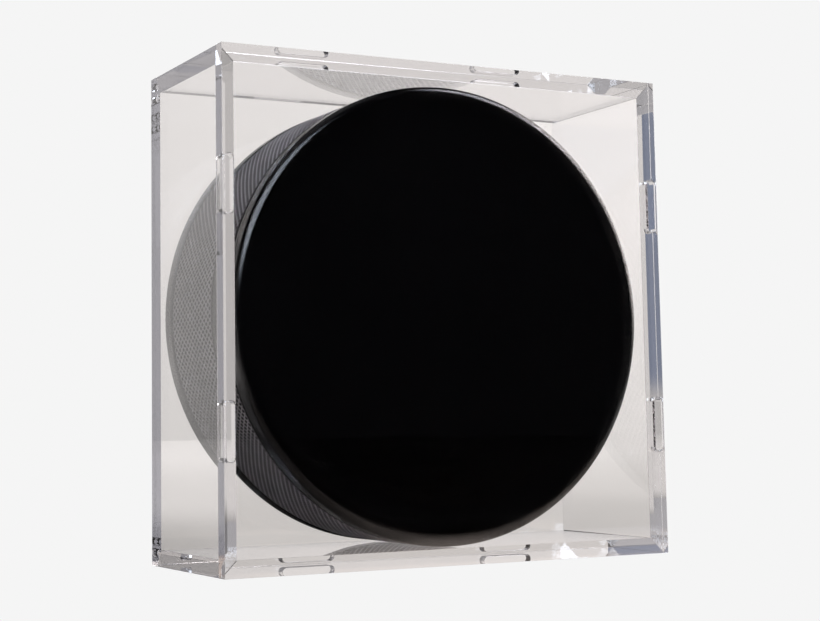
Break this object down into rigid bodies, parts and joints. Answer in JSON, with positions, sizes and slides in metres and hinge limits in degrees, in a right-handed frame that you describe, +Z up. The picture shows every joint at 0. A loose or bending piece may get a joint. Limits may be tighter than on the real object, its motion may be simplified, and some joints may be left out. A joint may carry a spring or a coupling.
{
  "type": "hockey puck in display case",
  "caption": "Solid rubber hockey puck with a knurled edge, standing upright inside a clear square display case whose interlocking halves pull straight apart.",
  "frame": {"origin": "centre of the case's footprint, on the surface that it stands on", "axes": "+Z up, -Y out through the case's front plate, +X to the right seen from the front; the puck's own axis lies along Y"},
  "size_m": [0.0826, 0.032, 0.0825],
  "materials": {
    "black_rubber": "satin moulded rubber with a fine diamond knurl round the edge",
    "clear_plastic": "polished clear polystyrene, crisp moulded edges"
  },
  "bodies": {
    "front_half": {"case_front_half": "clear_plastic"},
    "rear_half": {"case_rear_half": "clear_plastic"},
    "puck": {"puck": "black_rubber"}
  },
  "joints": [
    {"name": "rear_half_slide", "type": "slide", "parent": "front_half", "child": "rear_half", "axis": [0, 1, 0], "range_m": [0, 0.08]},
    {"name": "puck_slide", "type": "slide", "parent": "front_half", "child": "puck", "axis": [0, 1, 0], "range_m": [0, 0.04]}
  ],
  "couplings": [
    {"joint": "puck_slide", "follows": "rear_half_slide", "ratio": 0.5}
  ]
}
